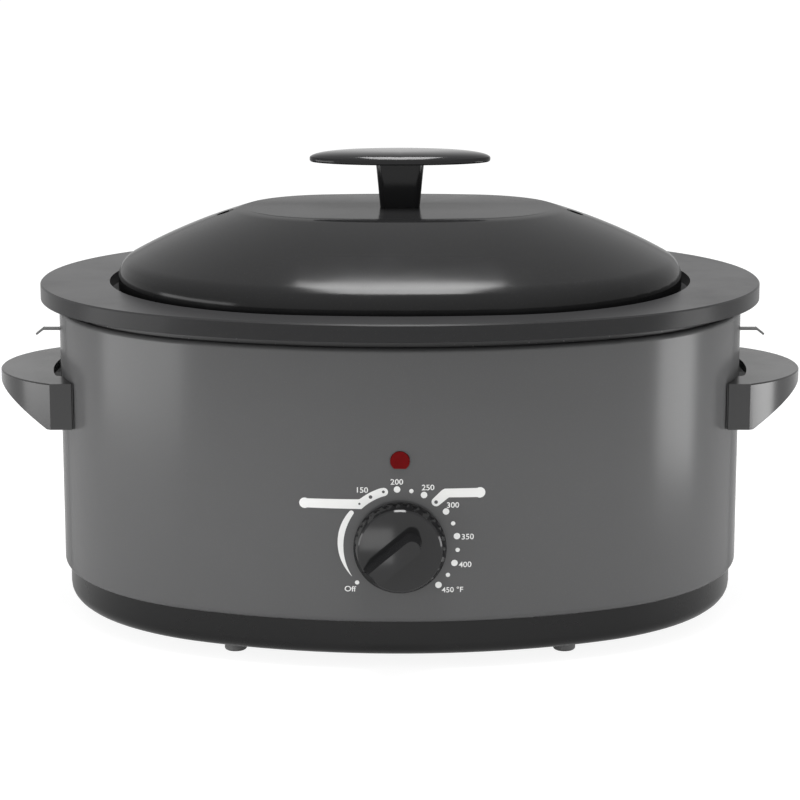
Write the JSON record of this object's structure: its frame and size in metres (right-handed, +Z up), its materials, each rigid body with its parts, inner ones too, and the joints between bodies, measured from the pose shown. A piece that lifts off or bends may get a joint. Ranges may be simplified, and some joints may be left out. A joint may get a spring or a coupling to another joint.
{
  "type": "electric roaster oven",
  "caption": "Oval electric roaster oven: painted body with side handles and a front control knob, lift-out pan with a wide flat rim, wire rack and domed lift-off lid.",
  "frame": {"origin": "centre of the oval footprint, on the surface that the four feet stand on", "axes": "+Z up; -Y towards the front, where the control knob is; +X to the right as seen from the front, along the oval's length"},
  "size_m": [0.414, 0.2978, 0.2374],
  "materials": {
    "body_paint": "satin charcoal metallic paint on sheet steel",
    "base_paint": "semi-gloss black paint on sheet steel",
    "black_enamel": "satin black enamel on sheet steel",
    "pan_enamel": "satin charcoal enamel with fine pale specks",
    "lid_enamel": "semi-gloss dark grey enamel",
    "black_plastic": "moulded heat-proof plastic, fine satin grain",
    "foot_plastic": "moulded matt dark grey plastic",
    "white_plastic": "moulded white plastic",
    "thermostat_body": "cream ceramic-filled moulding",
    "red_lens": "clear dark red plastic",
    "lamp_glass": "clear glass neon bulb",
    "black_rubber": "matt black rubber",
    "lead_silicone": "silicone-sleeved wire",
    "glass_fibre": "pale glass-fibre blanket",
    "band_jacket": "mica and foil heating band",
    "zinc_steel": "zinc-plated steel",
    "rest_steel": "plain grey sheet steel",
    "rack_wire": "bright plated steel wire"
  },
  "bodies": {
    "housing": {"outer_body": "body_paint", "base_pan": "base_paint", "heat_well": "black_enamel", "heating_band": "band_jacket", "insulation_blanket": "glass_fibre", "tie_stud": "zinc_steel", "tie_washer": "zinc_steel", "tie_nut": "zinc_steel", "foot_front_left": "foot_plastic", "foot_front_right": "foot_plastic", "foot_rear_left": "foot_plastic", "foot_rear_right": "foot_plastic", "foot_screws": "zinc_steel", "side_handle_left": "black_plastic", "side_handle_right": "black_plastic", "handle_plate_left": "zinc_steel", "handle_plate_right": "zinc_steel", "handle_screws": "zinc_steel", "lid_rest_left": "rest_steel", "lid_rest_right": "rest_steel", "lid_rest_rivets": "zinc_steel", "thermostat": "thermostat_body", "thermostat_bracket": "zinc_steel", "bracket_screws": "zinc_steel", "lamp_lens": "red_lens", "lamp_holder": "white_plastic", "neon_lamp": "lamp_glass", "lead_wires": "lead_silicone", "inlet_grommet": "black_rubber"},
    "knob": {"control_knob": "black_plastic", "control_shaft": "zinc_steel", "knob_spring": "zinc_steel"},
    "pan": {"cooking_pan": "pan_enamel"},
    "rack": {"roasting_rack": "rack_wire"},
    "lid": {"lid_dome": "lid_enamel", "lid_handle": "black_plastic", "lid_handle_screw": "zinc_steel", "lid_handle_washer": "zinc_steel"}
  },
  "joints": [
    {"name": "knob_turn", "type": "hinge", "parent": "housing", "child": "knob", "pos_m": [0, -0.1336, 0.0624], "axis": [0, 1, 0], "range_deg": [0, 266]},
    {"name": "pan_lift", "type": "slide", "parent": "housing", "child": "pan", "axis": [0, 0, 1], "range_m": [0, 0.15]},
    {"name": "rack_lift", "type": "slide", "parent": "pan", "child": "rack", "axis": [0, 0, 1], "range_m": [0, 0.09]},
    {"name": "lid_lift", "type": "slide", "parent": "pan", "child": "lid", "axis": [0, 0, 1], "range_m": [0, 0.15]}
  ]
}
